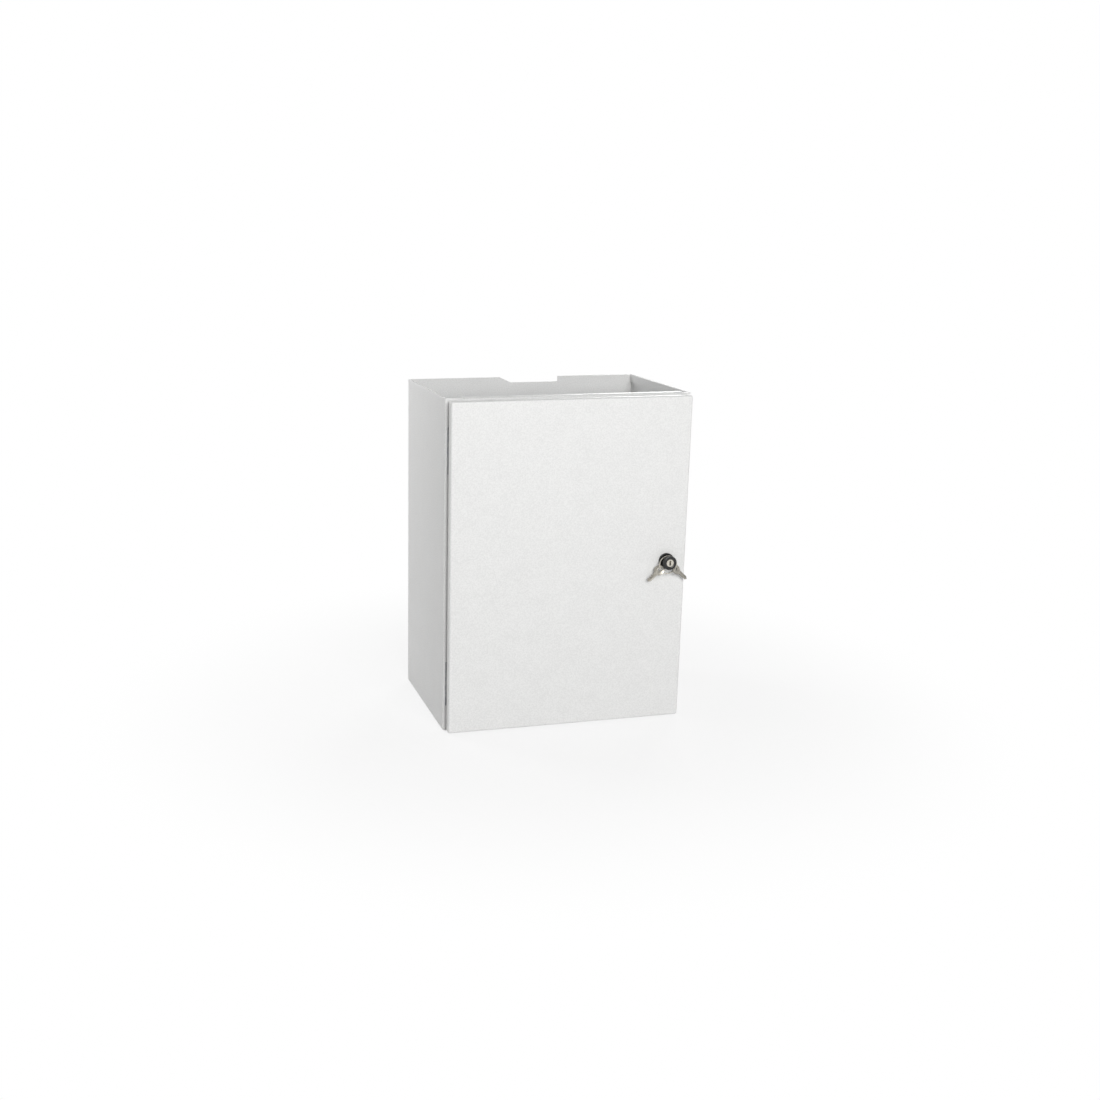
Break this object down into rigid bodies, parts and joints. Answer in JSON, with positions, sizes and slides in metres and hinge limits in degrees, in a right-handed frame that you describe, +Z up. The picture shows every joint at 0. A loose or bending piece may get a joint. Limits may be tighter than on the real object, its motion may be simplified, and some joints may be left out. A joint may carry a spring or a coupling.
{
  "type": "steel wall enclosure",
  "caption": "Folded sheet-steel wall box with a flat hinged door, cam lock with hanging keys, open hemmed top with a rear cable notch, and an inner mounting plate.",
  "frame": {"origin": "centre of the four wall fixing holes, on the wall plane", "axes": "+X to the right seen from the front, +Y into the wall, +Z up; the door faces -Y"},
  "size_m": [0.3, 0.2136, 0.4],
  "materials": {
    "grey_powder_coat": "light grey powder coat, fine orange peel, satin",
    "galvanised_steel": "hot-dip galvanised sheet with a faint spangle",
    "zinc_plated_steel": "bright zinc plate",
    "nickel_plate": "nickel plate, lightly worn",
    "black_lock_body": "black lacquered die casting",
    "black_rubber": "closed-cell foam rubber"
  },
  "bodies": {
    "case": {"case_wrap": "grey_powder_coat", "rear_wall": "grey_powder_coat", "top_rail": "grey_powder_coat", "mounting_plate": "galvanised_steel", "plate_studs": "zinc_plated_steel", "plate_spacers": "zinc_plated_steel", "plate_washers": "zinc_plated_steel", "plate_nuts": "zinc_plated_steel", "gland_seal": "black_rubber", "gland_plate": "grey_powder_coat", "gland_studs": "zinc_plated_steel", "gland_nuts": "zinc_plated_steel", "earth_stud": "zinc_plated_steel", "earth_nut": "zinc_plated_steel", "hinge_case_leaves": "zinc_plated_steel", "hinge_pins": "zinc_plated_steel", "hinge_screws": "zinc_plated_steel", "hinge_screw_nuts": "zinc_plated_steel"},
    "door": {"door_panel": "grey_powder_coat", "door_seal": "black_rubber", "hinge_door_leaves": "zinc_plated_steel", "door_hinge_studs": "zinc_plated_steel", "door_hinge_nuts": "zinc_plated_steel", "door_earth_stud": "zinc_plated_steel", "door_earth_nut": "zinc_plated_steel", "lock_washer": "black_rubber", "lock_housing": "black_lock_body", "lock_nut": "zinc_plated_steel"},
    "lock": {"lock_plug": "nickel_plate", "lock_cam": "zinc_plated_steel", "cam_washer": "zinc_plated_steel", "cam_screw": "zinc_plated_steel"},
    "keys": {"key_ring": "nickel_plate", "key_left": "nickel_plate", "key_right": "nickel_plate"}
  },
  "joints": [
    {"name": "door_hinge", "type": "hinge", "parent": "case", "child": "door", "pos_m": [-0.141, -0.1945, 0], "axis": [0, 0, -1], "range_deg": [0, 120]},
    {"name": "lock_turn", "type": "hinge", "parent": "door", "child": "lock", "pos_m": [0.1215, -0.19, 0], "axis": [0, -1, 0], "range_deg": [0, 90]},
    {"name": "key_swing", "type": "hinge", "parent": "door", "child": "keys", "pos_m": [0.1215, -0.2068, 0], "axis": [0, -1, 0], "range_deg": [-35, 35]}
  ]
}
